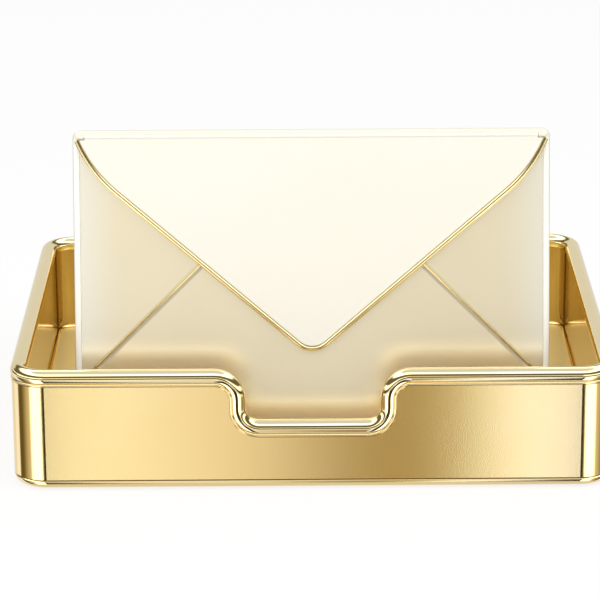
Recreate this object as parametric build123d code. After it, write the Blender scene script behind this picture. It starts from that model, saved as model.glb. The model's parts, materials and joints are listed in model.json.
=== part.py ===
from build123d import *

import os
from math import atan2, cos, degrees, radians, sin, sqrt, tan

# An open letter tray with a rolled rim and a finger notch, and an envelope-shaped letter case that
# stands in it, leaning back in a cradle. The case lifts out and its pointed flap swings up.
#
# Millimetres, +Z up. The origin is the centre of the tray's footprint, on the surface it rests on.
# +X runs along the long walls and the wall with the finger notch faces -Y.

# ---- tray ----
TRAY_LENGTH = 286.0
TRAY_DEPTH = 223.0
TRAY_HEIGHT = 60.0
CORNER_RADIUS = 16.5
SHEET = 1.0  # thickness of the pressed sheets
WALL_DEPTH = 7.0  # outer face to inner face of the double wall
BEAD_OVERHANG = 0.5  # how far the rolled rim stands out from both wall faces
LIP_HEIGHT = 1.2
LIP_PROUD = 0.4
LIP_GROOVE = 0.35  # width and depth of the grooves above and below the lip
PAN_HEIGHT = 5.2  # height of the seam between the bottom pan and the outer wall
PAN_EDGE_RADIUS = 4.2
SEAM_GROOVE = 0.5
FLOOR_HEIGHT = 10.5
FLOOR_BEAD_RADIUS = 1.6
FIT = 0.1  # clearance between pieces that slip into each other

# ---- finger notch, measured on the centre line of the rolled rim ----
NOTCH_DROP = 25.4
NOTCH_HALF_WIDTH = 35.9
NOTCH_RADIUS = 10.5

# ---- pads, spacers and screws under the floor ----
PAD_RADIUS = 8.0
PAD_THICKNESS = 0.8
PAD_INSET = 24.0
SPACER_RADIUS = 6.0
SPACER_SPREAD_X = 96.0
SPACER_SPREAD_Y = 70.0
SCREW_RADIUS = 1.5
SCREW_HEAD_RADIUS = 2.8
SCREW_HEAD_DEPTH = 1.2
SCREW_LENGTH = 7.0

# ---- envelope case ----
CASE_WIDTH = 228.5
CASE_HEIGHT = 148.1
CASE_THICKNESS = 10.0
CASE_CORNER_RADIUS = 3.6
CASE_EDGE_RADIUS = 2.5
CASE_LEAN = 12.0  # degrees back from upright
CASE_GAP = 24.0  # inner face of the front wall to the foot of the case's front
FRAME_WIDTH = 3.2
BOARD_THICKNESS = 1.5
FOLD_THICKNESS = 0.8  # the folded panels on the front board
THROAT_DEPTH = 34.0
THROAT_TOP_HALF_WIDTH = 86.0
THROAT_LOW_HALF_WIDTH = 52.0

# ---- seams of the folded panels ----
SEAM_RADIUS = 0.65
SEAM_START = 54.0  # half distance between the seams where they leave the flap
SEAM_BEND_HEIGHT = 32.0
SEAM_BEND_INSET = 7.6
SEAM_BEND_RADIUS = 12.0
SEAM_CLEARANCE = 0.2
SEAM_REVEAL = 0.35  # width of the groove between the seam's wire and the side panel
SEAM_SHOULDER = 1.5  # width of the slope on the bottom panel's edge, beside the wire
SEAM_DEPTH = 0.45

# ---- flap ----
FLAP_THICKNESS = 2.0
FLAP_GAP = 0.4  # between the closed flap and the front of the case
FLAP_TOP_DROP = 2.0  # the top of the case to the top of the flap
FLAP_REACH = 106.5  # the top of the flap to its point, before the point is rounded
FLAP_SIDE_INSET = 2.1  # the side of the case to the upper end of the trim
FLAP_SHOULDER_DROP = 14.6  # the upper end of the trim to the corner that its shoulder rounds
FLAP_SHOULDER_ANGLE = 66.6
FLAP_SHOULDER_STRAIGHT = 0.1  # the straight left above the rounded shoulder
FLAP_TIP_RADIUS = 10.8
TRIM_RADIUS = 1.2
TRIM_START = 1.6  # hinge axis to the upper end of the trim
TRIM_REVEAL = 0.3  # width of the groove between the trim and the flap's face
TRIM_GROOVE_FLOOR = 0.2  # the groove's floor below the trim's centre line
KNUCKLE_LENGTH = 3.5
KNUCKLE_INSET = 2.2
HINGE_SIDE_GAP = 0.3
HINGE_PIN_RADIUS = 0.5
HINGE_PIN_GAP = 0.05
HINGE_PIN_LENGTH = 22.0
HINGE_GROOVE = 0.4  # width and depth of the groove between the hinge barrel and the flap's face
HINGE_GROOVE_DROP = 0.35  # hinge axis to the groove

# ---- cradle that holds the foot of the case ----
CRADLE_LENGTH = 150.0
CRADLE_REST_HEIGHT = 46.0
CRADLE_LIP_HEIGHT = 5.0
CRADLE_FOOT_DEPTH = 34.0
CRADLE_FOOT_TOE = 5.0
RUNNING_GAP = 0.3
SEAT_FELT = 1.2
REST_FELT = 0.8
FELT_MARGIN = 3.0
RIVET_COUNT = 4
RIVET_RADIUS = 1.3
RIVET_HEAD_RADIUS = 2.6
RIVET_HEAD_HEIGHT = 1.0

# ---- worked out from the dimensions above ----
BEAD_RADIUS = WALL_DEPTH / 2 + BEAD_OVERHANG
BEAD_INSET = WALL_DEPTH / 2
BEAD_CENTRE = TRAY_HEIGHT - BEAD_RADIUS
BEAD_FOOT = sqrt(BEAD_RADIUS**2 - BEAD_INSET**2)
PAN_FLOOR = PAD_THICKNESS + SHEET
HALF_WIDTH = CASE_WIDTH / 2
HINGE_Y = CASE_HEIGHT - FLAP_TOP_DROP - FLAP_THICKNESS / 2
HINGE_Z = FLAP_GAP + FLAP_THICKNESS / 2
TRIM_Z = FLAP_GAP + TRIM_RADIUS
SEAT_DEPTH = RUNNING_GAP + SEAT_FELT + SHEET
REST_DEPTH = CASE_THICKNESS + RUNNING_GAP + REST_FELT + SHEET
LEAN = radians(CASE_LEAN)
FOOT_Y = -TRAY_DEPTH / 2 + WALL_DEPTH + CASE_GAP
FOOT_Z = FLOOR_HEIGHT + SEAT_DEPTH * cos(LEAN) + REST_DEPTH * sin(LEAN)
HEEL_Y = FOOT_Y - SEAT_DEPTH * sin(LEAN) + REST_DEPTH * cos(LEAN)
OVERRUN = 10.0  # how far cutting shapes run past what they cut
TOLERANCE = 1e-6

# The case is drawn flat: X across it, Y up its front, Z out of its front. This plane stands it up.
CASE_PLANE = Plane(origin=(0, FOOT_Y, FOOT_Z), x_dir=(1, 0, 0), z_dir=(0, -cos(LEAN), sin(LEAN)))


# ---- shared shapes ----
def stand_up(shape):
    """Put a shape that is drawn flat where the leaning case is."""
    return CASE_PLANE.location * shape


def tray_slab(inset, bottom, top):
    """A slab with the tray's outline, drawn in by inset."""
    outline = RectangleRounded(TRAY_LENGTH - 2 * inset, TRAY_DEPTH - 2 * inset, CORNER_RADIUS - inset)
    return Pos(0, 0, bottom) * extrude(outline, amount=top - bottom)


def block(x_range, y_range, z_range):
    """A box between the given limits."""
    centre = [sum(limits) / 2 for limits in (x_range, y_range, z_range)]
    size = [limits[1] - limits[0] for limits in (x_range, y_range, z_range)]
    return Pos(*centre) * Box(*size)


def rounded_route(points, radii):
    """Straight edges through the points, with an arc of the given radius at each inner point."""
    corners = [Vector(*point) for point in points]
    edges = []
    start = corners[0]
    for before, corner, after, radius in zip(corners, corners[1:], corners[2:], radii):
        into = (corner - before).normalized()
        out = (after - corner).normalized()
        turn = radians(into.get_angle(out))
        reach = radius * tan(turn / 2)
        arc_start = corner - into * reach
        arc_end = corner + out * reach
        inward = (out - into).normalized()
        arc_middle = corner + inward * (radius / cos(turn / 2) - radius)
        edges.append(Edge.make_line(start, arc_start))
        edges.append(Edge.make_three_point_arc(arc_start, arc_middle, arc_end))
        start = arc_end
    edges.append(Edge.make_line(start, corners[-1]))
    return edges


def outward_of(tangent):
    """The direction that faces out of the tray, beside a route that runs clockwise round it."""
    across = Vector(0, 0, 1).cross(tangent)
    if across.length < TOLERANCE:
        return Vector(0, -1, 0)
    return across.normalized()


def run_along(route, section, find_outward=outward_of):
    """A bar of the given section: local X of the section faces outward and local Y faces up."""
    bar = None
    for edge in route:
        tangent = edge % 0
        face = Plane(origin=edge @ 0, x_dir=find_outward(tangent), z_dir=tangent) * section
        if edge.geom_type == GeomType.LINE:
            piece = extrude(face, amount=edge.length, dir=tangent)
        else:
            axis = Axis(edge.arc_center, tangent.cross(edge % 1))
            piece = revolve(face, axis, revolution_arc=degrees(edge.length / edge.radius))
        bar = piece if bar is None else bar + piece
    return bar


def both_sides(half):
    """A half and its mirror image across the middle of the tray, as one solid."""
    return half + mirror(half, about=Plane.YZ)


def level_route(inset, height):
    """The right half of the tray's outline, from the middle of the back to the middle of the front."""
    right = TRAY_LENGTH / 2 - inset
    back = TRAY_DEPTH / 2 - inset
    points = [(0, back, height), (right, back, height), (right, -back, height), (0, -back, height)]
    return rounded_route(points, [CORNER_RADIUS - inset] * 2)


def rim_route():
    """The right half of the rim on the outer face, which dips through the finger notch."""
    right = TRAY_LENGTH / 2
    back = TRAY_DEPTH / 2
    low = BEAD_CENTRE - NOTCH_DROP
    points = [
        (0, back, BEAD_CENTRE),
        (right, back, BEAD_CENTRE),
        (right, -back, BEAD_CENTRE),
        (NOTCH_HALF_WIDTH, -back, BEAD_CENTRE),
        (NOTCH_HALF_WIDTH, -back, low),
        (0, -back, low),
    ]
    return rounded_route(points, [CORNER_RADIUS, CORNER_RADIUS, NOTCH_RADIUS, NOTCH_RADIUS])


def notch_cut():
    """What the finger notch takes from the front wall, up to the centre line of the rim."""
    top = BEAD_CENTRE + OVERRUN
    low = BEAD_CENTRE - NOTCH_DROP
    far = NOTCH_HALF_WIDTH + NOTCH_RADIUS + OVERRUN
    right = [(far, top), (far, BEAD_CENTRE), (NOTCH_HALF_WIDTH, BEAD_CENTRE), (NOTCH_HALF_WIDTH, low)]
    left = [(-x, z) for x, z in reversed(right)]
    outline = make_face(Polyline(*right, *left, close=True))
    corners = [v for v in outline.vertices() if abs(abs(v.X) - NOTCH_HALF_WIDTH) < TOLERANCE]
    outline = fillet(corners, NOTCH_RADIUS)
    front = Plane(origin=(0, -TRAY_DEPTH / 2 - OVERRUN, 0), x_dir=(1, 0, 0), z_dir=(0, -1, 0))
    return extrude(front * outline, amount=-(WALL_DEPTH + 2 * OVERRUN))


# ---- tray ----
def make_rim_bead():
    """The fat rolled edge that caps the double wall all round and through the notch."""
    section = Pos(-BEAD_INSET, 0) * Circle(BEAD_RADIUS)
    return both_sides(run_along(rim_route(), section))


def make_rim_lip():
    """The fine moulding on the outer wall, under the rolled edge."""
    level = -BEAD_FOOT - LIP_GROOVE
    top = (0, level)
    middle = (LIP_PROUD, level - LIP_HEIGHT / 2)
    foot = (0, level - LIP_HEIGHT)
    section = make_face([Edge.make_three_point_arc(top, middle, foot), Edge.make_line(foot, top)])
    return both_sides(run_along(rim_route(), section))


def lip_grooves():
    """The two fine channels in the outer wall, above and below the lip."""
    channel = Rectangle(2 * LIP_GROOVE, LIP_GROOVE)
    upper = Pos(0, -BEAD_FOOT - LIP_GROOVE / 2) * channel
    lower = Pos(0, -BEAD_FOOT - LIP_HEIGHT - 3 * LIP_GROOVE / 2) * channel
    return both_sides(run_along(rim_route(), upper)) + both_sides(run_along(rim_route(), lower))


def seam_groove():
    """The V groove round the tray where the outer wall meets the bottom pan."""
    corners = [(SEAM_GROOVE, 0), (0, SEAM_GROOVE), (-SEAM_GROOVE, 0), (0, -SEAM_GROOVE)]
    section = make_face(Polyline(*corners, close=True))
    return both_sides(run_along(level_route(0, PAN_HEIGHT), section))


def make_outer_wall(bead):
    """The outer skin of the wall, from the pan's seam up to the rolled edge."""
    wall = tray_slab(0, PAN_HEIGHT, BEAD_CENTRE) - tray_slab(SHEET, 0, TRAY_HEIGHT)
    return wall - notch_cut() - bead - seam_groove() - lip_grooves()


def make_inner_wall(bead):
    """The inner skin of the wall, which stands on the bottom pan."""
    wall = tray_slab(WALL_DEPTH - SHEET, PAN_FLOOR, BEAD_CENTRE) - tray_slab(WALL_DEPTH, 0, TRAY_HEIGHT)
    return wall - notch_cut() - bead


def make_bottom_pan():
    """The pressed bottom with its rounded edge, drilled for the spacer screws."""
    outside = tray_slab(0, PAD_THICKNESS, PAN_HEIGHT)
    outside = fillet(outside.edges().group_by(Axis.Z)[0], PAN_EDGE_RADIUS)
    inside = tray_slab(SHEET, PAN_FLOOR, PAN_HEIGHT + OVERRUN)
    inside = fillet(inside.edges().group_by(Axis.Z)[0], PAN_EDGE_RADIUS - SHEET)
    return outside - inside - seam_groove() - make_base_screws()


def make_tray_floor():
    """The raised floor inside the walls, drilled for the cradle's rivets."""
    floor = tray_slab(WALL_DEPTH + FIT, FLOOR_HEIGHT - SHEET, FLOOR_HEIGHT)
    return floor - rivet_shanks()


def make_floor_bead():
    """The small round moulding that hides the joint of the floor and the inner wall."""
    quarter = Circle(FLOOR_BEAD_RADIUS) & Pos(-OVERRUN / 2, OVERRUN / 2) * Rectangle(OVERRUN, OVERRUN)
    return both_sides(run_along(level_route(WALL_DEPTH, FLOOR_HEIGHT), quarter))


def spacer_places():
    """Where the spacers stand, with their screws below them."""
    return GridLocations(2 * SPACER_SPREAD_X, 2 * SPACER_SPREAD_Y, 2, 2)


def make_base_screws():
    """The countersunk screws that hold the spacers on the bottom pan."""
    shank = Pos(0, 0, PAD_THICKNESS + SCREW_LENGTH / 2) * Cylinder(SCREW_RADIUS, SCREW_LENGTH)
    head = Pos(0, 0, PAD_THICKNESS + SCREW_HEAD_DEPTH / 2) * Cone(
        SCREW_HEAD_RADIUS, SCREW_RADIUS, SCREW_HEAD_DEPTH
    )
    screw = shank + head
    return Compound([place * screw for place in spacer_places()])


def make_floor_spacers():
    """The round blocks between the bottom pan and the raised floor."""
    height = FLOOR_HEIGHT - SHEET - PAN_FLOOR
    spacer = Pos(0, 0, PAN_FLOOR + height / 2) * Cylinder(SPACER_RADIUS, height)
    spacers = [place * spacer for place in spacer_places()]
    return Compound([spacer - make_base_screws() for spacer in spacers])


def make_pad(side, end):
    """One thin round pad under a corner; side is -1 for left and end is -1 for front."""
    x = side * (TRAY_LENGTH / 2 - PAD_INSET)
    y = end * (TRAY_DEPTH / 2 - PAD_INSET)
    return Pos(x, y, PAD_THICKNESS / 2) * Cylinder(PAD_RADIUS, PAD_THICKNESS)


# ---- cradle ----
def rivet_places():
    """Where the rivets hold the foot of the cradle on the floor."""
    spacing = CRADLE_LENGTH / RIVET_COUNT
    row = HEEL_Y + CRADLE_FOOT_DEPTH / 2
    return [Pos(0, row, 0) * place for place in GridLocations(spacing, 1, RIVET_COUNT, 1)]


def rivet_shanks():
    """The shanks of the rivets, through the floor and the foot of the cradle."""
    shank = Pos(0, 0, FLOOR_HEIGHT) * Cylinder(RIVET_RADIUS, 2 * SHEET)
    return Compound([place * shank for place in rivet_places()])


def make_cradle_rivets():
    """Rivets with a domed head on the foot and a flat tail under the floor."""
    dome_radius = (RIVET_HEAD_RADIUS**2 + RIVET_HEAD_HEIGHT**2) / (2 * RIVET_HEAD_HEIGHT)
    seat = FLOOR_HEIGHT + SHEET
    dome = Pos(0, 0, seat + RIVET_HEAD_HEIGHT - dome_radius) * Sphere(dome_radius)
    dome = dome & Pos(0, 0, seat + RIVET_HEAD_HEIGHT / 2) * Cylinder(RIVET_HEAD_RADIUS, RIVET_HEAD_HEIGHT)
    tail_centre = FLOOR_HEIGHT - SHEET - RIVET_HEAD_HEIGHT / 2
    tail = Pos(0, 0, tail_centre) * Cylinder(RIVET_HEAD_RADIUS, RIVET_HEAD_HEIGHT)
    shank = Pos(0, 0, FLOOR_HEIGHT) * Cylinder(RIVET_RADIUS, 2 * SHEET)
    rivet = dome + shank + tail
    return Compound([place * rivet for place in rivet_places()])


def make_cradle_bracket():
    """A bent sheet: a leaning back rest, a seat, a front lip and a foot on the tray's floor."""
    across = (-CRADLE_LENGTH / 2, CRADLE_LENGTH / 2)
    rest = block(across, (-SEAT_DEPTH, CRADLE_REST_HEIGHT), (-REST_DEPTH, SHEET - REST_DEPTH))
    seat = block(across, (-SEAT_DEPTH, SHEET - SEAT_DEPTH), (-REST_DEPTH, RUNNING_GAP + SHEET))
    lip = block(across, (-SEAT_DEPTH, CRADLE_LIP_HEIGHT), (RUNNING_GAP, RUNNING_GAP + SHEET))
    channel = stand_up(rest + seat + lip)
    foot_range = (HEEL_Y - CRADLE_FOOT_TOE, HEEL_Y + CRADLE_FOOT_DEPTH)
    foot = block(across, foot_range, (FLOOR_HEIGHT, FLOOR_HEIGHT + SHEET))
    return channel + foot - rivet_shanks()


def make_seat_felt():
    """The felt strip that the foot of the case stands on."""
    half = CRADLE_LENGTH / 2 - FELT_MARGIN
    across = (-half, half)
    strip = block(across, (SHEET - SEAT_DEPTH, -RUNNING_GAP), (-CASE_THICKNESS - RUNNING_GAP, 0))
    return stand_up(strip)


def make_rest_felt():
    """The felt sheet on the front of the back rest."""
    half = CRADLE_LENGTH / 2 - FELT_MARGIN
    back = SHEET - REST_DEPTH
    up = (SHEET - SEAT_DEPTH, CRADLE_REST_HEIGHT - FELT_MARGIN)
    sheet = block((-half, half), up, (back, back + REST_FELT))
    return stand_up(sheet)


# ---- envelope case, drawn flat ----
def case_slab(inset, radius, low, high):
    """A slab with the case's outline, drawn in by inset, between two heights off its front."""
    outline = RectangleRounded(CASE_WIDTH - 2 * inset, CASE_HEIGHT - 2 * inset, radius)
    return Pos(0, CASE_HEIGHT / 2, low) * extrude(outline, amount=high - low)


def knuckle_range(side):
    """Where the end knuckle of the case lies across the width."""
    outer = HALF_WIDTH - KNUCKLE_INSET
    return tuple(sorted((side * outer, side * (outer - KNUCKLE_LENGTH))))


def along_hinge(radius, x_range):
    """A round bar on the hinge axis."""
    centre = sum(x_range) / 2
    bar = Cylinder(radius, x_range[1] - x_range[0], rotation=(0, 90, 0))
    return Pos(centre, HINGE_Y, HINGE_Z) * bar


def hinge_pin_bar(side, radius, gap=0.0):
    """The hinge pin's bar from the outer end of the knuckle inward, or the bore for it."""
    outer = HALF_WIDTH - KNUCKLE_INSET
    limits = tuple(sorted((side * (outer + gap), side * (outer - HINGE_PIN_LENGTH - gap))))
    return along_hinge(radius, limits)


def make_edge_frame():
    """The rounded frame round the case, with a hinge knuckle at each upper corner."""
    body = case_slab(0, CASE_CORNER_RADIUS, -CASE_THICKNESS, 0)
    heights = body.edges().group_by(Axis.Z)
    body = fillet(heights[0] + heights[-1], CASE_EDGE_RADIUS)
    inner_radius = CASE_CORNER_RADIUS / 2
    body -= case_slab(FRAME_WIDTH, inner_radius, -CASE_THICKNESS - OVERRUN, OVERRUN)
    for side in (-1, 1):
        knuckle = along_hinge(FLAP_THICKNESS / 2, knuckle_range(side))
        half = FLAP_THICKNESS / 2
        web = block(knuckle_range(side), (HINGE_Y - half, HINGE_Y + half), (-SHEET, HINGE_Z))
        body += (knuckle + web) - hinge_pin_bar(side, HINGE_PIN_RADIUS)
    return body


def inner_slab(low, high):
    """A slab that fits inside the edge frame."""
    return case_slab(FRAME_WIDTH + FIT, CASE_CORNER_RADIUS / 2, low, high)


def knuckle_webs():
    """Room for the feet of the hinge knuckles in the pieces behind them."""
    half = FLAP_THICKNESS / 2 + FIT
    up = (HINGE_Y - half, HINGE_Y + half)
    left, right = (
        block((low - FIT, high + FIT), up, (-SHEET - FIT, HINGE_Z))
        for low, high in (knuckle_range(-1), knuckle_range(1))
    )
    return left + right


def throat():
    """The mouth of the pocket, hidden by the closed flap."""
    top = CASE_HEIGHT - FRAME_WIDTH
    low = top - THROAT_DEPTH
    corners = [
        (-THROAT_TOP_HALF_WIDTH, top),
        (THROAT_TOP_HALF_WIDTH, top),
        (THROAT_LOW_HALF_WIDTH, low),
        (-THROAT_LOW_HALF_WIDTH, low),
    ]
    return extrude(make_face(Polyline(*corners, close=True)), amount=OVERRUN, both=True)


def make_back_panel():
    """The flat back of the case."""
    return inner_slab(-CASE_THICKNESS, BOARD_THICKNESS - CASE_THICKNESS)


def make_front_board():
    """The stiff board under the folded panels, which closes the front of the pocket."""
    return inner_slab(-FOLD_THICKNESS - BOARD_THICKNESS, -FOLD_THICKNESS) - throat() - knuckle_webs()


def flap_corners():
    """The trim's upper right end, the corner under its shoulder and its point, before rounding."""
    start = (HALF_WIDTH - FLAP_SIDE_INSET, HINGE_Y - TRIM_START)
    step = FLAP_SHOULDER_DROP / tan(radians(FLAP_SHOULDER_ANGLE))
    corner = (start[0] - step, start[1] - FLAP_SHOULDER_DROP)
    return start, corner, (0, CASE_HEIGHT - FLAP_TOP_DROP - FLAP_REACH)


def flap_slope():
    """The angle of the flap's straight edge, in radians."""
    _, corner, point = flap_corners()
    return atan2(corner[1] - point[1], corner[0])


def flap_route():
    """The centre line of the flap's trim, from its left end round the tip to its right end."""
    start, corner, point = flap_corners()
    points = [(-start[0], start[1]), (-corner[0], corner[1]), point, corner, start]
    flat = [(x, y, TRIM_Z) for x, y in points]
    shoulder = radians(FLAP_SHOULDER_ANGLE)
    leg = FLAP_SHOULDER_DROP / sin(shoulder) - FLAP_SHOULDER_STRAIGHT
    shoulder_radius = leg / tan((shoulder - flap_slope()) / 2)
    return rounded_route(flat, [shoulder_radius, FLAP_TIP_RADIUS, shoulder_radius])


def seam_route():
    """The centre line of the right seam, from the flap's edge to the lower corner of the case."""
    _, _, point = flap_corners()
    clear = (TRIM_RADIUS + SEAM_CLEARANCE) / cos(flap_slope())
    start = (SEAM_START, point[1] + SEAM_START * tan(flap_slope()) - clear)
    bend = (HALF_WIDTH - SEAM_BEND_INSET, SEAM_BEND_HEIGHT)
    inside = FRAME_WIDTH + FIT + SEAM_RADIUS
    end = (HALF_WIDTH - inside, inside)
    flat = [(x, y, 0) for x, y in (start, bend, end)]
    return rounded_route(flat, [SEAM_BEND_RADIUS])


def across_route(tangent):
    """A direction square to a route that is drawn flat."""
    return Vector(0, 0, 1).cross(tangent).normalized()


def make_seam_trim(side):
    """The wire in the seam between a side panel and the bottom panel; side is -1 for left."""
    wire = run_along(seam_route(), Circle(SEAM_RADIUS), across_route)
    return wire if side > 0 else mirror(wire, about=Plane.YZ)


def seam_relief():
    """What a seam takes from the panels' faces: a groove on one side of the wire, a slope on the other."""
    side = SEAM_RADIUS + SEAM_REVEAL
    slope = -SEAM_RADIUS - SEAM_SHOULDER
    corners = [(side, OVERRUN), (side, -SEAM_DEPTH), (0, -SEAM_DEPTH), (slope, 0), (slope, OVERRUN)]
    relief = run_along(seam_route(), make_face(Polyline(*corners, close=True)), across_route)
    return relief + mirror(relief, about=Plane.YZ)


def folded_sheet():
    """The layer of folded panels before it is divided along the seams."""
    return inner_slab(-FOLD_THICKNESS, 0) - throat() - knuckle_webs() - seam_relief()


def bottom_fold():
    """The region of the bottom panel, which widens from its point to the lower corners."""
    route = seam_route()
    start = route[0] @ 0
    end = route[-1] @ 1
    along = route[0] % 0
    point = start - along * (start.X / along.X)
    low = (end.X, -OVERRUN, 0)
    middle = (0, -OVERRUN, 0)
    edges = [Edge.make_line(point, start)] + route
    edges += [Edge.make_line(end, low), Edge.make_line(low, middle), Edge.make_line(middle, point)]
    shape = extrude(make_face(edges), amount=OVERRUN, both=True)
    return shape + mirror(shape, about=Plane.YZ)


def make_bottom_panel():
    """The panel folded up from the foot of the case."""
    return (folded_sheet() & bottom_fold()) - make_seam_trim(-1) - make_seam_trim(1)


def make_side_panel(side):
    """The panel folded in from one side of the case; side is -1 for left."""
    half = block(
        tuple(sorted((0, side * CASE_WIDTH))), (-OVERRUN, CASE_HEIGHT + OVERRUN), (-OVERRUN, OVERRUN)
    )
    return (folded_sheet() & half) - bottom_fold() - make_seam_trim(side)


def make_hinge_pin(side):
    """The short pin that joins the flap to one end knuckle."""
    return hinge_pin_bar(side, HINGE_PIN_RADIUS)


# ---- flap, drawn flat ----
def make_flap_trim():
    """The rounded bead along the pointed edge of the flap."""
    return run_along(flap_route(), Circle(TRIM_RADIUS), across_route)


def trim_groove():
    """The narrow groove beside the trim, which lets its whole round show."""
    width = 2 * (TRIM_RADIUS + TRIM_REVEAL)
    section = Pos(0, OVERRUN / 2 - TRIM_GROOVE_FLOOR) * Rectangle(width, OVERRUN)
    return run_along(flap_route(), section, across_route)


def make_flap_panel():
    """The pointed flap with the hinge barrel along its top."""
    start, _, _ = flap_corners()
    edges = [flatten(edge) for edge in flap_route()]
    top_right = (start[0], HINGE_Y, 0)
    top_left = (-start[0], HINGE_Y, 0)
    edges.append(Edge.make_line((start[0], start[1], 0), top_right))
    edges.append(Edge.make_line(top_right, top_left))
    edges.append(Edge.make_line(top_left, (-start[0], start[1], 0)))
    panel = Pos(0, 0, FLAP_GAP) * extrude(make_face(edges), amount=FLAP_THICKNESS)
    inner_end = HALF_WIDTH - KNUCKLE_INSET - KNUCKLE_LENGTH - HINGE_SIDE_GAP
    barrel = along_hinge(FLAP_THICKNESS / 2, (-inner_end, inner_end))
    panel = panel - trim_groove() + barrel - make_flap_trim()
    groove_top = HINGE_Y - HINGE_GROOVE_DROP
    flap_face = FLAP_GAP + FLAP_THICKNESS
    across = (-HALF_WIDTH, HALF_WIDTH)
    panel -= block(across, (groove_top - HINGE_GROOVE, groove_top), (flap_face - HINGE_GROOVE, OVERRUN))
    for side in (-1, 1):
        clear = FLAP_THICKNESS / 2 + RUNNING_GAP
        limits = tuple(sorted((side * inner_end, side * (HALF_WIDTH + OVERRUN))))
        panel -= block(limits, (HINGE_Y - clear, HINGE_Y + OVERRUN), (-OVERRUN, OVERRUN))
        panel -= hinge_pin_bar(side, HINGE_PIN_RADIUS + HINGE_PIN_GAP, HINGE_SIDE_GAP)
    return panel


def flatten(edge):
    """The same edge on the front plane of the case."""
    return edge.moved(Location((0, 0, -TRIM_Z)))


# ---- every piece, by the name of its file ----
def make_pieces():
    """All pieces of the tray, the case and its flap, each at its place."""
    bead = make_rim_bead()
    pieces = {
        "bottom_pan": make_bottom_pan(),
        "outer_wall": make_outer_wall(bead),
        "inner_wall": make_inner_wall(bead),
        "rim_bead": bead,
        "rim_lip": make_rim_lip(),
        "tray_floor": make_tray_floor(),
        "floor_bead": make_floor_bead(),
        "floor_spacers": make_floor_spacers(),
        "base_screws": make_base_screws(),
        "front_left_pad": make_pad(-1, -1),
        "front_right_pad": make_pad(1, -1),
        "back_left_pad": make_pad(-1, 1),
        "back_right_pad": make_pad(1, 1),
        "cradle_bracket": make_cradle_bracket(),
        "cradle_rivets": make_cradle_rivets(),
        "cradle_seat_felt": make_seat_felt(),
        "cradle_rest_felt": make_rest_felt(),
        "case_edge_frame": stand_up(make_edge_frame()),
        "case_back_panel": stand_up(make_back_panel()),
        "case_front_board": stand_up(make_front_board()),
        "case_bottom_panel": stand_up(make_bottom_panel()),
        "case_left_panel": stand_up(make_side_panel(-1)),
        "case_right_panel": stand_up(make_side_panel(1)),
        "left_seam_trim": stand_up(make_seam_trim(-1)),
        "right_seam_trim": stand_up(make_seam_trim(1)),
        "left_hinge_pin": stand_up(make_hinge_pin(-1)),
        "right_hinge_pin": stand_up(make_hinge_pin(1)),
        "flap_panel": stand_up(make_flap_panel()),
        "flap_edge_trim": stand_up(make_flap_trim()),
    }
    return pieces


os.makedirs("parts", exist_ok=True)
for name, piece in make_pieces().items():
    export_step(piece, f"parts/{name}.step")
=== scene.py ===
"""Looks of an open gold letter tray with an envelope-shaped letter case standing in it.

Every length is in metres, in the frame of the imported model: +Z up, the tray's footprint centred on the
origin, and the wall with the finger notch facing -Y.
"""

from __future__ import annotations

import json
import logging
import math
from dataclasses import dataclass, field
from enum import Enum
from typing import Sequence

import bmesh
import bpy
from mathutils import Matrix, Vector

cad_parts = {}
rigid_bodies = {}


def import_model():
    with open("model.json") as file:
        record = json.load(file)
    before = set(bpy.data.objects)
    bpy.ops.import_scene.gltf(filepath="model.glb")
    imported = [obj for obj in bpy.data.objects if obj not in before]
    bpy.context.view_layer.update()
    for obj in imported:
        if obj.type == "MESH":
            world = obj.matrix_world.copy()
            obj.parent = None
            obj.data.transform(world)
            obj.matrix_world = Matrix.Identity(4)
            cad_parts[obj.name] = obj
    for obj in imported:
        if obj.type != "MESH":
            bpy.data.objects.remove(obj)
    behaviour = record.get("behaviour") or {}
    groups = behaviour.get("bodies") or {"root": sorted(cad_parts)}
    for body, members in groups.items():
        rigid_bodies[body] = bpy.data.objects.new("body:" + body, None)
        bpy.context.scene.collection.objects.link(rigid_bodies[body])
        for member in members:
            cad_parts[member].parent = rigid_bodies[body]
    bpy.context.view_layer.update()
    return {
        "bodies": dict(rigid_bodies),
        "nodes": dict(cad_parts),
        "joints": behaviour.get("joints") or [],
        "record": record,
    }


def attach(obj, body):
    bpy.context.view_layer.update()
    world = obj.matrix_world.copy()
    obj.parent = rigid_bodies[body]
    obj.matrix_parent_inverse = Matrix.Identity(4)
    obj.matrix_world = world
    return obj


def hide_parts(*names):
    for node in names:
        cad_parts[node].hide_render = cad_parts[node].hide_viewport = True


LOG = logging.getLogger("letter_tray")
MM = 0.001


class Finish(Enum):
    """The finishes of the object, each on one or more pieces."""

    WALL_GOLD = "wall_gold"
    ROUND_GOLD = "round_gold"
    PAINTED_SHADE_RIM_GOLD = "painted_shade_rim_gold"
    PAINTED_SHADE_INNER_GOLD = "painted_shade_inner_gold"
    FLOOR_GOLD = "floor_gold"
    PAINTED_SHADE_TRIM_GOLD = "painted_shade_trim_gold"
    IVORY = "ivory"
    FRAME_IVORY = "frame_ivory"
    FLAP_IVORY = "flap_ivory"
    CHAMPAGNE = "champagne"
    CRADLE_FELT = "cradle_felt"
    PAD_FELT = "pad_felt"
    SPACER = "spacer"
    SCREW = "screw"


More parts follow.
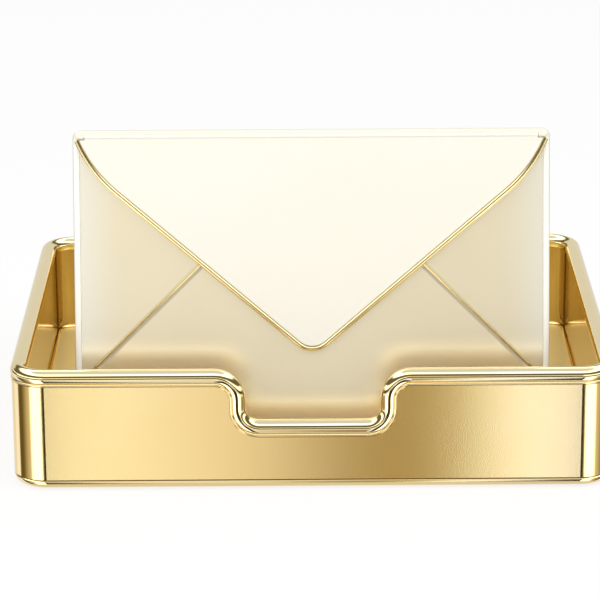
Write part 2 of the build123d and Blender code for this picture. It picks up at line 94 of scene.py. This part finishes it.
# ---------------------------------------------------------------- node trees
class NodeTree:
    """Short words for building a node tree."""

    def __init__(self, tree: bpy.types.NodeTree) -> None:
        """Wrap a tree and empty it.

        Args:
            tree: the node tree of a material, a world or a node group.
        """
        self.tree = tree
        tree.nodes.clear()

    def add(self, kind: str, **settings: object) -> bpy.types.Node:
        """Add a node and set its own properties.

        Args:
            kind: the node's type name.
            **settings: properties of the node itself.

        Returns:
            The new node.
        """
        node = self.tree.nodes.new(kind)
        for key, value in settings.items():
            setattr(node, key, value)
        return node

    def feed(self, socket: bpy.types.NodeSocket, value: object) -> None:
        """Link a socket to an output, or set its plain value.

        Args:
            socket: the input socket.
            value: an output socket, a number or a colour.
        """
        if isinstance(value, bpy.types.NodeSocket):
            self.tree.links.new(value, socket)
        else:
            socket.default_value = value

    def math(self, operation: str, *values: object, clamp: bool = False) -> bpy.types.NodeSocket:
        """A Math node on up to three values.

        Args:
            operation: the node's operation.
            *values: numbers or output sockets.
            clamp: whether the result is kept between 0 and 1.

        Returns:
            The node's output.
        """
        node = self.add("ShaderNodeMath", operation=operation, use_clamp=clamp)
        for socket, value in zip(node.inputs, values):
            self.feed(socket, value)
        return node.outputs[0]

    def ramp_between(self, value: object, low: float, high: float) -> bpy.types.NodeSocket:
        """A smooth step of a value from 0 at low to 1 at high.

        Args:
            value: a number or an output socket.
            low: where the step starts.
            high: where it ends.

        Returns:
            The output from 0 to 1.
        """
        node = self.add("ShaderNodeMapRange", interpolation_type="SMOOTHSTEP")
        self.feed(node.inputs["Value"], value)
        node.inputs["From Min"].default_value = low
        node.inputs["From Max"].default_value = high
        return node.outputs["Result"]

    def mix_colour(self, factor: object, first: object, second: object) -> bpy.types.NodeSocket:
        """Mix two colours.

        Args:
            factor: how much of the second colour.
            first: the colour at 0.
            second: the colour at 1.

        Returns:
            The mixed colour.
        """
        node = self.add("ShaderNodeMix", data_type="RGBA")
        self.feed(node.inputs[0], factor)
        self.feed(node.inputs[6], first)
        self.feed(node.inputs[7], second)
        return node.outputs[2]


@dataclass(frozen=True)
class GroupSocket:
    """One input or output of a shader node group."""

    name: str
    kind: str
    default: object = None


def new_group(name: str, inputs: Sequence[GroupSocket], outputs: Sequence[GroupSocket]) -> NodeTree:
    """Start a shader node group with named sockets.

    Args:
        name: the group's name.
        inputs: its input sockets.
        outputs: its output sockets.

    Returns:
        The group's tree, still empty.
    """
    group = bpy.data.node_groups.new(name, "ShaderNodeTree")
    for way, sockets in (("INPUT", inputs), ("OUTPUT", outputs)):
        for spec in sockets:
            socket = group.interface.new_socket(spec.name, in_out=way, socket_type=spec.kind)
            if spec.default is not None:
                socket.default_value = spec.default
    return NodeTree(group)


CLOUD_SPAN = (0.3, 0.7)
BUMP_DEPTH = 0.1 * MM


def surface_grain_group() -> bpy.types.NodeTree:
    """The shared fine texture: a cloudy mask, a fine value and a bumped normal.

    Returns:
        The node group.
    """
    value = "NodeSocketFloat"
    tree = new_group(
        "surface_grain",
        [
            GroupSocket("Cloud Scale", value, 20.0),
            GroupSocket("Grain Scale", value, 2000.0),
            GroupSocket("Bump Strength", value, 0.02),
            GroupSocket("Roughness", value, 0.2),
            GroupSocket("Roughness Spread", value, 0.02),
        ],
        [
            GroupSocket("Cloud", value),
            GroupSocket("Roughness", value),
            GroupSocket("Normal", "NodeSocketVector"),
        ],
    )
    given = tree.add("NodeGroupInput")
    result = tree.add("NodeGroupOutput")
    place = tree.add("ShaderNodeTexCoord").outputs["Object"]
    cloud_node = tree.add("ShaderNodeTexNoise")
    tree.feed(cloud_node.inputs["Vector"], place)
    tree.feed(cloud_node.inputs["Scale"], given.outputs["Cloud Scale"])
    cloud = tree.ramp_between(cloud_node.outputs[0], *CLOUD_SPAN)
    grain_node = tree.add("ShaderNodeTexNoise")
    tree.feed(grain_node.inputs["Vector"], place)
    tree.feed(grain_node.inputs["Scale"], given.outputs["Grain Scale"])
    grain = grain_node.outputs[0]
    centred = tree.math("SUBTRACT", grain, 0.5)
    spread = tree.math("MULTIPLY", centred, given.outputs["Roughness Spread"])
    bump = tree.add("ShaderNodeBump")
    bump.inputs["Distance"].default_value = BUMP_DEPTH
    tree.feed(bump.inputs["Strength"], given.outputs["Bump Strength"])
    tree.feed(bump.inputs["Height"], grain)
    tree.feed(result.inputs["Cloud"], cloud)
    tree.feed(result.inputs["Roughness"], tree.math("ADD", given.outputs["Roughness"], spread, clamp=True))
    tree.feed(result.inputs["Normal"], bump.outputs["Normal"])
    return tree.tree


# ---------------------------------------------------------------- finishes
@dataclass(frozen=True)
class PaintedEdgeLight:
    """A painted highlight or painted shade that a finish takes on between two distances from the origin
    along one axis.
    """

    tone: tuple[float, float, float]
    start: float
    end: float
    axis: str = "X"


@dataclass(frozen=True)
class SurfaceFinish:
    """One finish: two near tones, its gloss, the fine texture on it and any painted edge highlight or
    shade.
    """

    name: Finish
    tone: tuple[float, float, float]
    second_tone: tuple[float, float, float]
    roughness: float
    roughness_spread: float = 0.02
    metallic: float = 0.0
    coat: float = 0.0
    coat_roughness: float = 0.05
    specular: float = 0.5
    sheen: float = 0.0
    cloud_scale: float = 18.0
    grain_scale: float = 2500.0
    bump: float = 0.02
    painted_edge_light: tuple[PaintedEdgeLight, ...] = ()

    def make(self, grain: bpy.types.NodeTree) -> bpy.types.Material:
        """Build the material.

        Args:
            grain: the shared texture group.

        Returns:
            The finished material.
        """
        material = bpy.data.materials.new(f"finish_{self.name.value}")
        material.use_nodes = True
        tree = NodeTree(material.node_tree)
        shader = tree.add("ShaderNodeBsdfPrincipled")
        output = tree.add("ShaderNodeOutputMaterial")
        tree.feed(output.inputs["Surface"], shader.outputs["BSDF"])
        texture = tree.add("ShaderNodeGroup", node_tree=grain)
        texture.inputs["Cloud Scale"].default_value = self.cloud_scale
        texture.inputs["Grain Scale"].default_value = self.grain_scale
        texture.inputs["Bump Strength"].default_value = self.bump
        texture.inputs["Roughness"].default_value = self.roughness
        texture.inputs["Roughness Spread"].default_value = self.roughness_spread
        colour = tree.mix_colour(texture.outputs["Cloud"], (*self.tone, 1.0), (*self.second_tone, 1.0))
        for edge in self.painted_edge_light:
            colour = self.paint_edge_light(tree, colour, edge)
        tree.feed(shader.inputs["Base Color"], colour)
        tree.feed(shader.inputs["Roughness"], texture.outputs["Roughness"])
        tree.feed(shader.inputs["Normal"], texture.outputs["Normal"])
        shader.inputs["Metallic"].default_value = self.metallic
        shader.inputs["Coat Weight"].default_value = self.coat
        shader.inputs["Coat Roughness"].default_value = self.coat_roughness
        shader.inputs["Specular IOR Level"].default_value = self.specular
        shader.inputs["Sheen Weight"].default_value = self.sheen
        return material

    @staticmethod
    def paint_edge_light(tree: NodeTree, colour: object, edge: PaintedEdgeLight) -> bpy.types.NodeSocket:
        """Blend a painted highlight or painted shade into a colour towards an edge of the object.

        Args:
            tree: the material's node tree.
            colour: the colour away from the edge.
            edge: the painted highlight or shade at the edge and where it starts.

        Returns:
            The blended colour.
        """
        split = tree.add("ShaderNodeSeparateXYZ")
        tree.feed(split.inputs[0], tree.add("ShaderNodeTexCoord").outputs["Object"])
        distance = tree.math("ABSOLUTE", split.outputs[edge.axis])
        mask = tree.ramp_between(distance, edge.start, edge.end)
        return tree.mix_colour(mask, colour, (*edge.tone, 1.0))


FINISHES = (
    SurfaceFinish(
        Finish.WALL_GOLD,
        (1.0, 0.765, 0.345),
        (1.0, 0.785, 0.375),
        roughness=0.08,
        metallic=1.0,
        grain_scale=1800.0,
        bump=0.05,
    ),
    SurfaceFinish(
        Finish.ROUND_GOLD,
        (1.0, 0.77, 0.36),
        (1.0, 0.79, 0.39),
        roughness=0.08,
        metallic=1.0,
        bump=0.01,
    ),
    # Painted shade: a duller, paler copy of the wall gold, so that the rim's reflections come out dimmer.
    SurfaceFinish(
        Finish.PAINTED_SHADE_RIM_GOLD,
        (0.885, 0.74, 0.40),
        (0.905, 0.76, 0.43),
        roughness=0.065,
        metallic=1.0,
        bump=0.01,
    ),
    # Painted shade: a much darker copy of the wall gold for the inside of the tray, standing in for the
    # shade in its well.
    SurfaceFinish(
        Finish.PAINTED_SHADE_INNER_GOLD,
        (0.60, 0.43, 0.155),
        (0.62, 0.45, 0.17),
        roughness=0.10,
        metallic=1.0,
        bump=0.01,
    ),
    SurfaceFinish(
        Finish.FLOOR_GOLD,
        (1.0, 0.80, 0.35),
        (1.0, 0.82, 0.39),
        roughness=0.30,
        metallic=0.3,
        cloud_scale=40.0,
        bump=0.06,
    ),
    # Painted shade: a darker copy of the gold for the wires and pins, standing in for the dark sides of a
    # round wire.
    SurfaceFinish(
        Finish.PAINTED_SHADE_TRIM_GOLD,
        (0.84, 0.70, 0.37),
        (0.87, 0.73, 0.40),
        roughness=0.12,
        metallic=1.0,
        bump=0.01,
    ),
    SurfaceFinish(
        Finish.IVORY,
        (0.97, 0.95, 0.86),
        (0.98, 0.96, 0.88),
        roughness=0.33,
        metallic=0.05,
        coat=0.1,
        bump=0.03,
    ),
    SurfaceFinish(
        Finish.FRAME_IVORY,
        (0.97, 0.95, 0.86),
        (0.98, 0.96, 0.88),
        roughness=0.33,
        metallic=0.05,
        bump=0.03,
        # Painted shade: a darker band along the frame's top edge and a dark line down its outer side
        # edges, where the rounded edges mirror dark surroundings.
        painted_edge_light=(
            PaintedEdgeLight((0.81, 0.79, 0.67), 154.5 * MM, 157.5 * MM, "Z"),
            PaintedEdgeLight((0.52, 0.50, 0.42), 113.6 * MM, 114.1 * MM),
        ),
    ),
    SurfaceFinish(
        Finish.FLAP_IVORY,
        (0.95, 0.91, 0.80),
        (0.955, 0.92, 0.82),
        roughness=0.33,
        metallic=0.2,
        coat=0.1,
        cloud_scale=14.0,
        bump=0.03,
    ),
    SurfaceFinish(
        Finish.CHAMPAGNE,
        (0.955, 0.865, 0.655),
        (0.975, 0.885, 0.685),
        roughness=0.26,
        metallic=0.72,
        coat=0.05,
        bump=0.03,
        # Painted highlight: the panels turn paler towards their outer side edges, standing in for a
        # brighter reflection there.
        painted_edge_light=(PaintedEdgeLight((0.99, 0.96, 0.86), 90 * MM, 114 * MM),),
    ),
    SurfaceFinish(
        Finish.CRADLE_FELT,
        (0.52, 0.42, 0.27),
        (0.60, 0.50, 0.34),
        roughness=0.95,
        sheen=0.4,
        cloud_scale=300.0,
        grain_scale=3500.0,
        bump=0.8,
    ),
    SurfaceFinish(
        Finish.PAD_FELT,
        (0.035, 0.03, 0.027),
        (0.055, 0.05, 0.045),
        roughness=0.95,
        sheen=0.3,
        cloud_scale=300.0,
        grain_scale=3500.0,
        bump=0.8,
    ),
    SurfaceFinish(Finish.SPACER, (0.05, 0.05, 0.05), (0.07, 0.07, 0.07), roughness=0.55, bump=0.1),
    SurfaceFinish(
        Finish.SCREW, (0.62, 0.62, 0.63), (0.72, 0.72, 0.72), roughness=0.28, metallic=1.0, bump=0.05
    ),
)


@dataclass
class FinishShelf:
    """Every finish, built once and handed out by name."""

    materials: dict[Finish, bpy.types.Material] = field(default_factory=dict)

    def fill(self) -> None:
        """Build every finish."""
        grain = surface_grain_group()
        for finish in FINISHES:
            self.materials[finish.name] = finish.make(grain)

    def put_on(self, piece: bpy.types.Object, finish: Finish) -> None:
        """Give a piece one finish all over.

        Args:
            piece: the piece to dress.
            finish: the finish that it gets.
        """
        for slot in piece.material_slots:
            slot.material = self.materials[finish]
        LOG.info("dressed %s in %s", piece.name, finish.value)


# ---------------------------------------------------------------- studio
FULL_TURN = (-180.0, 180.0)
LOW = (-60.0, -12.0)  # the elevations that the tray's upright walls mirror


@dataclass(frozen=True)
class SoftCard:
    """A soft-edged card in the studio's surroundings, by the directions that it covers, in degrees.

    Azimuth 0 is towards the viewer and elevation 0 is level. A later card lies over the earlier ones.
    """

    azimuth: tuple[float, float]
    elevation: tuple[float, float]
    shade: tuple[float, float, float]
    soft_azimuth: tuple[float, float] = (4.0, 4.0)
    soft_elevation: tuple[float, float] = (4.0, 4.0)


@dataclass(frozen=True)
class SoftLamp:
    """One large square lamp that points at the object: its place, the side of its square and its watts."""

    name: str
    place: tuple[float, float, float]
    size: float
    power: float


@dataclass
class Studio:
    """The camera, the lamps, the surroundings and the pale floor."""

    lens: float = 183.06
    sensor: float = 36.0
    pitch: float = 18.0
    roll: float = 0.36
    target: tuple[float, float, float] = (-5.84 * MM, 0.0, 58.64 * MM)
    distance: float = 1536.3 * MM
    clip_end: float = 100.0
    floor_radius: float = 30.0
    floor_segments: int = 64
    floor_shade: tuple[float, float, float] = (0.9, 0.9, 0.9)
    floor_glow: float = 0.8  # the share of plain white that the camera sees in the floor
    lamps: tuple[SoftLamp, ...] = (
        SoftLamp("key_lamp", (-0.9, -1.2, 1.7), 1.6, 17.0),
        SoftLamp("fill_lamp", (1.1, -0.7, 1.4), 1.4, 8.0),
    )
    cards: tuple[SoftCard, ...] = (
        # the white floor and the dark line at the horizon
        SoftCard(FULL_TURN, (-90, -6), (1.10, 1.12, 1.18), soft_elevation=(1, 4)),
        SoftCard(FULL_TURN, (-90, -44), (0.72, 0.72, 0.74), soft_elevation=(1, 16)),
        SoftCard(FULL_TURN, (-7, 4), (0.08, 0.06, 0.03), soft_elevation=(3, 2)),
        # the band that lights the case's panels
        SoftCard(FULL_TURN, (4, 11.5), (1.15, 1.10, 0.92), soft_elevation=(2, 2)),
        SoftCard((-40, -2.2), (4, 11.5), (1.70, 1.66, 1.52), (4, 6), (2, 2)),
        # the dark gap and the softbox above it
        SoftCard(FULL_TURN, (11.5, 36), (0.16, 0.14, 0.09), soft_elevation=(2, 4)),
        SoftCard(FULL_TURN, (41, 62), (2.5, 2.5, 2.5), soft_elevation=(7, 8)),
        # pale cards beside the object
        SoftCard((14, 100), (1, 13), (1.8, 1.8, 1.8), (4, 10), (4, 4)),
        SoftCard((-100, -14), (1, 13), (1.8, 1.8, 1.8), (10, 4), (4, 4)),
        # the dark band on the front wall, and the bright end right of it
        SoftCard((-3.2, 6.3), LOW, (0.93, 0.91, 0.92), (1.8, 0.8), (1, 4)),
        SoftCard((-0.1, 6.3), LOW, (0.36, 0.27, 0.12), (4.0, 0.8), (1, 4)),
        SoftCard((3.5, 6.3), LOW, (1.2, 1.24, 1.05), (1.6, 0.8), (1, 4)),
        SoftCard((4.0, 6.3), LOW, (1.25, 1.34, 1.8), (1.2, 0.8), (1, 4)),
        # the dark, white, brown and pale stripes on the rounded corners
        SoftCard((6.0, 19), LOW, (0.04, 0.03, 0.01), (0.6, 4), (1, 4)),
        SoftCard((-18, -5.7), LOW, (0.04, 0.03, 0.01), (4, 0.8), (1, 4)),
        SoftCard((20, 56), LOW, (2.4, 2.4, 2.4), (6, 16), (1, 4)),
        SoftCard((-56, -19), LOW, (2.4, 2.4, 2.4), (16, 6), (1, 4)),
        SoftCard((54, 105), LOW, (0.66, 0.58, 0.46), (14, 9), (1, 4)),
        SoftCard((-105, -54), LOW, (0.66, 0.58, 0.46), (9, 14), (1, 4)),
        SoftCard((74, 105), LOW, (0.13, 0.10, 0.03), (34, 8), (1, 4)),
        SoftCard((-105, -74), LOW, (0.13, 0.10, 0.03), (8, 34), (1, 4)),
        SoftCard((108, 128), LOW, (1.0, 1.02, 1.3), (9, 10), (1, 4)),
        SoftCard((-128, -108), LOW, (1.0, 1.02, 1.3), (10, 9), (1, 4)),
        # what lies behind the object
        SoftCard((128, 200), (-60, -2), (0.84, 0.82, 0.80), (14, 1), (1, 6)),
        SoftCard((-200, -128), (-60, -2), (0.84, 0.82, 0.80), (1, 14), (1, 6)),
        SoftCard((134, 200), (-4, 24), (0.78, 0.78, 0.78), (14, 1), (6, 6)),
        SoftCard((-200, -134), (-4, 24), (0.78, 0.78, 0.78), (1, 14), (6, 6)),
    )
    sky: tuple[float, float, float] = (0.76, 0.83, 1.0)
    ambient: float = 0.78

    def build(self) -> None:
        """Set up everything that isn't part of the object."""
        self.place_camera()
        self.light_surroundings()
        self.hang_lamps()
        self.lay_floor()
        scene = bpy.context.scene
        scene.view_settings.view_transform = "Standard"

    def place_camera(self) -> None:
        """Stand the camera where the photograph's camera stood."""
        data = bpy.data.cameras.new("camera")
        data.lens = self.lens
        data.sensor_width = self.sensor
        data.clip_end = self.clip_end
        camera = bpy.data.objects.new("camera", data)
        bpy.context.scene.collection.objects.link(camera)
        pitch = math.radians(self.pitch)
        roll = math.radians(self.roll)
        forward = Vector((0.0, math.cos(pitch), -math.sin(pitch)))
        right = Vector((1.0, 0.0, 0.0))
        up = right.cross(forward)
        rolled_right = right * math.cos(roll) - up * math.sin(roll)
        rolled_up = right * math.sin(roll) + up * math.cos(roll)
        turn = Matrix((rolled_right, rolled_up, -forward)).transposed()
        place = Vector(self.target) - forward * self.distance
        camera.matrix_world = Matrix.Translation(place) @ turn.to_4x4()
        bpy.context.scene.camera = camera

    def light_surroundings(self) -> None:
        """A white background for the camera, cards for the gloss and an even light for the rest."""
        world = bpy.data.worlds.new("studio")
        world.use_nodes = True
        bpy.context.scene.world = world
        tree = NodeTree(world.node_tree)
        direction = tree.add("ShaderNodeTexCoord").outputs["Generated"]
        split = tree.add("ShaderNodeSeparateXYZ")
        tree.feed(split.inputs[0], direction)
        ahead = tree.math("MULTIPLY", split.outputs["Y"], -1.0)
        azimuth = tree.math("DEGREES", tree.math("ARCTAN2", split.outputs["X"], ahead))
        elevation = tree.math("DEGREES", tree.math("ARCSINE", split.outputs["Z"]))
        shade: object = (*self.sky, 1.0)
        for card in self.cards:
            mask = self.card_mask(tree, card, azimuth, elevation)
            shade = tree.mix_colour(mask, shade, (*card.shade, 1.0))
        gloss = tree.add("ShaderNodeBackground")
        tree.feed(gloss.inputs["Color"], shade)
        plain = tree.add("ShaderNodeBackground")
        plain.inputs["Color"].default_value = (self.ambient, self.ambient, self.ambient, 1.0)
        white = tree.add("ShaderNodeBackground")
        white.inputs["Color"].default_value = (1.0, 1.0, 1.0, 1.0)
        path = tree.add("ShaderNodeLightPath")
        for_gloss = tree.add("ShaderNodeMixShader")
        tree.feed(for_gloss.inputs[0], path.outputs["Is Glossy Ray"])
        tree.feed(for_gloss.inputs[1], plain.outputs[0])
        tree.feed(for_gloss.inputs[2], gloss.outputs[0])
        for_camera = tree.add("ShaderNodeMixShader")
        seen = tree.math("MAXIMUM", path.outputs["Is Camera Ray"], path.outputs["Is Transmission Ray"])
        tree.feed(for_camera.inputs[0], seen)
        tree.feed(for_camera.inputs[1], for_gloss.outputs[0])
        tree.feed(for_camera.inputs[2], white.outputs[0])
        output = tree.add("ShaderNodeOutputWorld")
        tree.feed(output.inputs["Surface"], for_camera.outputs[0])

    @staticmethod
    def card_mask(
        tree: NodeTree, card: SoftCard, azimuth: bpy.types.NodeSocket, elevation: bpy.types.NodeSocket
    ) -> bpy.types.NodeSocket:
        """Where a card is seen, from 0 to 1.

        Args:
            tree: the world's node tree.
            card: the card.
            azimuth: the direction's azimuth in degrees, 0 towards the viewer.
            elevation: its elevation in degrees.

        Returns:
            The mask.
        """
        result: object = 1.0
        spans = (
            (azimuth, card.azimuth, card.soft_azimuth),
            (elevation, card.elevation, card.soft_elevation),
        )
        for value, (low, high), soft in spans:
            if (low, high) == FULL_TURN:
                continue
            rising = tree.ramp_between(value, low - soft[0] / 2, low + soft[0] / 2)
            past = tree.ramp_between(value, high - soft[1] / 2, high + soft[1] / 2)
            falling = tree.math("SUBTRACT", 1.0, past)
            result = tree.math("MULTIPLY", result, tree.math("MULTIPLY", rising, falling))
        return result

    def hang_lamps(self) -> None:
        """Hang the soft lamps, which shade the matt surfaces and cast the soft shadow."""
        for soft_lamp in self.lamps:
            data = bpy.data.lights.new(soft_lamp.name, "AREA")
            data.size = soft_lamp.size
            data.energy = soft_lamp.power
            lamp = bpy.data.objects.new(soft_lamp.name, data)
            lamp.location = soft_lamp.place
            lamp.rotation_euler = (-Vector(soft_lamp.place)).to_track_quat("-Z", "Y").to_euler()
            lamp.visible_glossy = False
            lamp.visible_camera = False
            bpy.context.scene.collection.objects.link(lamp)

    def lay_floor(self) -> None:
        """A pale floor that fades into the white background and keeps a faint shadow."""
        mesh = bpy.data.meshes.new("floor")
        sheet = bmesh.new()
        bmesh.ops.create_circle(
            sheet, cap_ends=True, segments=self.floor_segments, radius=self.floor_radius
        )
        sheet.to_mesh(mesh)
        sheet.free()
        floor = bpy.data.objects.new("floor", mesh)
        bpy.context.scene.collection.objects.link(floor)
        material = bpy.data.materials.new("pale_floor")
        material.use_nodes = True
        tree = NodeTree(material.node_tree)
        matt = tree.add("ShaderNodeBsdfDiffuse")
        matt.inputs["Color"].default_value = (*self.floor_shade, 1.0)
        glow = tree.add("ShaderNodeEmission")
        path = tree.add("ShaderNodeLightPath")
        share = tree.math("MULTIPLY", path.outputs["Is Camera Ray"], self.floor_glow)
        mix = tree.add("ShaderNodeMixShader")
        tree.feed(mix.inputs[0], share)
        tree.feed(mix.inputs[1], matt.outputs[0])
        tree.feed(mix.inputs[2], glow.outputs[0])
        output = tree.add("ShaderNodeOutputMaterial")
        tree.feed(output.inputs["Surface"], mix.outputs[0])
        mesh.materials.append(material)
        floor.visible_glossy = False


# ---------------------------------------------------------------- the object
@dataclass(frozen=True)
class FeltPiece:
    """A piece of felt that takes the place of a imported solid."""

    name: str
    stands_for: str
    slot: str
    finish: Finish
    softness: float


SHARP_ANGLE = math.radians(60)
EDGE_SEGMENTS = 4
FLAT_FACE_AREA = 2.5 * MM * MM


def soften_edges(shape: bmesh.types.BMesh, softness: float) -> None:
    """Round every sharp edge of a felt shape and turn its faces outwards.

    Args:
        shape: the closed shape.
        softness: how wide the rounding is.
    """
    sharp = [edge for edge in shape.edges if edge.calc_face_angle(0.0) > SHARP_ANGLE]
    bmesh.ops.bevel(
        shape,
        geom=sharp,
        offset=softness,
        segments=EDGE_SEGMENTS,
        profile=0.5,
        affect="EDGES",
        material=-1,
    )
    bmesh.ops.recalc_face_normals(shape, faces=shape.faces)
    for face in shape.faces:
        face.smooth = face.calc_area() < FLAT_FACE_AREA


@dataclass
class SubAssembly:
    """Pieces of one sub-assembly: packed ones that are dressed, and ones that are built here."""

    frame: dict
    shelf: FinishShelf

    def finishes(self) -> dict[str, Finish]:
        """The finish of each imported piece.

        Returns:
            The finishes by the piece's name.
        """
        return {}

    def build(self) -> None:
        """Build the sub-assembly's own meshes."""

    def dress(self) -> None:
        """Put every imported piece's finish on it."""
        for name, finish in self.finishes().items():
            self.shelf.put_on(self.frame["nodes"][name], finish)

    def lay_felt(self, shape: bmesh.types.BMesh, piece: FeltPiece) -> bpy.types.Object:
        """Finish a felt shape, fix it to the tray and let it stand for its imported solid.

        Args:
            shape: the felt's closed shape, in its place.
            piece: what the felt is called and stands for.

        Returns:
            The felt's object.
        """
        soften_edges(shape, piece.softness)
        mesh = bpy.data.meshes.new(piece.name)
        shape.to_mesh(mesh)
        shape.free()
        mesh.materials.append(self.shelf.materials[piece.finish])
        felt = bpy.data.objects.new(piece.name, mesh)
        bpy.context.scene.collection.objects.link(felt)
        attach(felt, "tray")
        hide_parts(piece.stands_for)
        LOG.info("built %s for %s", piece.name, piece.stands_for)
        return felt


@dataclass
class TrayShell(SubAssembly):
    """The double wall with its rolled rim and lip, and the pressed bottom pan."""

    def finishes(self) -> dict[str, Finish]:
        """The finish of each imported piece.

        Returns:
            The finishes by the piece's name.
        """
        return {
            "outer_wall": Finish.WALL_GOLD,
            "inner_wall": Finish.PAINTED_SHADE_INNER_GOLD,
            "rim_bead": Finish.PAINTED_SHADE_RIM_GOLD,
            "rim_lip": Finish.PAINTED_SHADE_RIM_GOLD,
            "bottom_pan": Finish.ROUND_GOLD,
        }


@dataclass
class TrayBase(SubAssembly):
    """The raised floor with its moulding, and what is under it."""

    pad_radius: float = 8 * MM
    pad_thickness: float = 0.8 * MM
    pad_reach: tuple[float, float] = (119 * MM, 87.5 * MM)
    pad_softness: float = 0.25 * MM
    pad_segments: int = 72

    def finishes(self) -> dict[str, Finish]:
        """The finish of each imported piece.

        Returns:
            The finishes by the piece's name.
        """
        return {
            "tray_floor": Finish.FLOOR_GOLD,
            "floor_bead": Finish.ROUND_GOLD,
            "floor_spacers": Finish.SPACER,
            "base_screws": Finish.SCREW,
        }

    def build(self) -> None:
        """Build the four felt pads under the corners."""
        for end, depth in (("front", -1), ("back", 1)):
            for side, across in (("left", -1), ("right", 1)):
                place = Vector((across * self.pad_reach[0], depth * self.pad_reach[1], 0.0))
                pad = FeltPiece(
                    f"felt_pad_{end}_{side}",
                    f"{end}_{side}_pad",
                    "pad_felt",
                    Finish.PAD_FELT,
                    self.pad_softness,
                )
                self.lay_felt(self.pad_shape(place), pad)

    def pad_shape(self, place: Vector) -> bmesh.types.BMesh:
        """The disc of one pad.

        Args:
            place: the middle of its underside.

        Returns:
            The closed disc.
        """
        shape = bmesh.new()
        bmesh.ops.create_circle(shape, cap_ends=True, segments=self.pad_segments, radius=self.pad_radius)
        raised = bmesh.ops.extrude_face_region(shape, geom=shape.faces[:])["geom"]
        top = [item for item in raised if isinstance(item, bmesh.types.BMVert)]
        bmesh.ops.translate(shape, verts=top, vec=(0.0, 0.0, self.pad_thickness))
        bmesh.ops.translate(shape, verts=shape.verts, vec=place)
        return shape


@dataclass
class Cradle(SubAssembly):
    """The bent sheet that holds the case, with its rivets and felt."""

    lean: float = math.radians(12)
    foot: tuple[float, float, float] = (0.0, -80.5 * MM, 15.461 * MM)
    half_length: float = 72 * MM
    seat_rise: tuple[float, float] = (-1.5 * MM, -0.3 * MM)
    seat_depth: tuple[float, float] = (-10.3 * MM, 0.0)
    rest_rise: tuple[float, float] = (-1.5 * MM, 43 * MM)
    rest_depth: tuple[float, float] = (-11.1 * MM, -10.3 * MM)
    felt_softness: float = 0.25 * MM

    def finishes(self) -> dict[str, Finish]:
        """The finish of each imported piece.

        Returns:
            The finishes by the piece's name.
        """
        return {"cradle_bracket": Finish.FLOOR_GOLD, "cradle_rivets": Finish.ROUND_GOLD}

    def build(self) -> None:
        """Build the felt that the case's foot stands on and the felt behind it."""
        strips = (
            ("felt_seat_strip", "cradle_seat_felt", self.seat_rise, self.seat_depth),
            ("felt_rest_sheet", "cradle_rest_felt", self.rest_rise, self.rest_depth),
        )
        for name, stands_for, rise, depth in strips:
            felt = FeltPiece(name, stands_for, "cradle_felt", Finish.CRADLE_FELT, self.felt_softness)
            self.lay_felt(self.strip_shape(rise, depth), felt)

    def strip_shape(self, rise: tuple[float, float], depth: tuple[float, float]) -> bmesh.types.BMesh:
        """A flat strip that leans as the case does.

        Args:
            rise: its lower and upper end, up the front of the case from the case's foot.
            depth: its back and front, out of the front of the case.

        Returns:
            The closed strip.
        """
        sine, cosine = math.sin(self.lean), math.cos(self.lean)
        up = Vector((0.0, sine, cosine))
        out = Vector((0.0, -cosine, sine))
        turn = Matrix((Vector((1.0, 0.0, 0.0)), up, out)).transposed().to_4x4()
        sizes = (2 * self.half_length, rise[1] - rise[0], depth[1] - depth[0])
        centre = Vector(self.foot) + up * (sum(rise) / 2) + out * (sum(depth) / 2)
        shape = bmesh.new()
        bmesh.ops.create_cube(shape, size=1.0)
        bmesh.ops.scale(shape, verts=shape.verts, vec=sizes)
        bmesh.ops.transform(shape, verts=shape.verts, matrix=Matrix.Translation(centre) @ turn)
        return shape


@dataclass
class EnvelopeCase(SubAssembly):
    """The case: its edge frame, boards, folded panels, seam wires and hinge pins."""

    def finishes(self) -> dict[str, Finish]:
        """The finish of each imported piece.

        Returns:
            The finishes by the piece's name.
        """
        folds = ("case_bottom_panel", "case_left_panel", "case_right_panel")
        wires = ("left_seam_trim", "right_seam_trim", "left_hinge_pin", "right_hinge_pin")
        return (
            {"case_edge_frame": Finish.FRAME_IVORY}
            | {board: Finish.IVORY for board in ("case_back_panel", "case_front_board")}
            | {fold: Finish.CHAMPAGNE for fold in folds}
            | {wire: Finish.PAINTED_SHADE_TRIM_GOLD for wire in wires}
        )


@dataclass
class Flap(SubAssembly):
    """The pointed flap and the bead along its edge."""

    def finishes(self) -> dict[str, Finish]:
        """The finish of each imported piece.

        Returns:
            The finishes by the piece's name.
        """
        return {"flap_panel": Finish.FLAP_IVORY, "flap_edge_trim": Finish.PAINTED_SHADE_TRIM_GOLD}


def main() -> None:
    """Load the frame, build the studio, dress and add the pieces."""
    logging.basicConfig(level=logging.INFO, format="%(message)s")
    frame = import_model()
    Studio().build()
    shelf = FinishShelf()
    shelf.fill()
    for kind in (TrayShell, TrayBase, Cradle, EnvelopeCase, Flap):
        part = kind(frame, shelf)
        part.build()
        part.dress()


if __name__ == "__main__":
    main()
